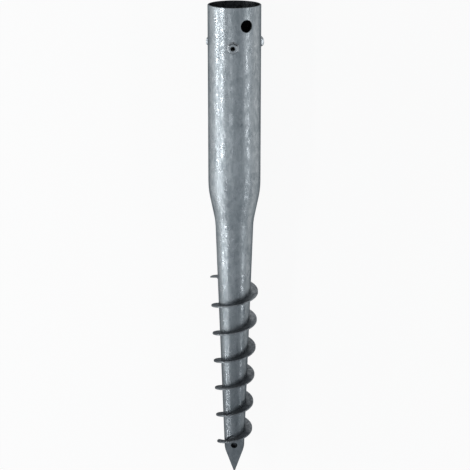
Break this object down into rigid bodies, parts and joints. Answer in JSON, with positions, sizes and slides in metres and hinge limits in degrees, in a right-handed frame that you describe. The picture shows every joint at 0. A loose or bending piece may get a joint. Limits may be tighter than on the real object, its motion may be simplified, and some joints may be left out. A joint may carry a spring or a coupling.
{
  "type": "foundation ground screw",
  "caption": "Galvanised steel foundation ground screw: a tube socket with clamp nuts, swaged to a long cone with a welded helix flight and a pressed point.",
  "frame": {"origin": "on the screw axis, at the plane of the open mouth", "axes": "+Y along the screw axis out of the mouth, +Z toward the top clamp nut, +X across; the screw lies on its side"},
  "size_m": [0.0832, 0.722, 0.0826],
  "materials": {
    "galvanised_steel": "hot-dip galvanised, satin with soft streaks",
    "zinc_coated_nut": "galvanised, satin",
    "galvanised_weld": "galvanised weld bead, rippled"
  },
  "bodies": {
    "root": {"screw_tube": "galvanised_steel", "helix_flight": "galvanised_steel", "flight_weld": "galvanised_weld", "clamp_nut_1": "zinc_coated_nut", "clamp_nut_2": "zinc_coated_nut", "clamp_nut_3": "zinc_coated_nut", "nut_weld_1": "galvanised_weld", "nut_weld_2": "galvanised_weld", "nut_weld_3": "galvanised_weld"}
  },
  "joints": []
}
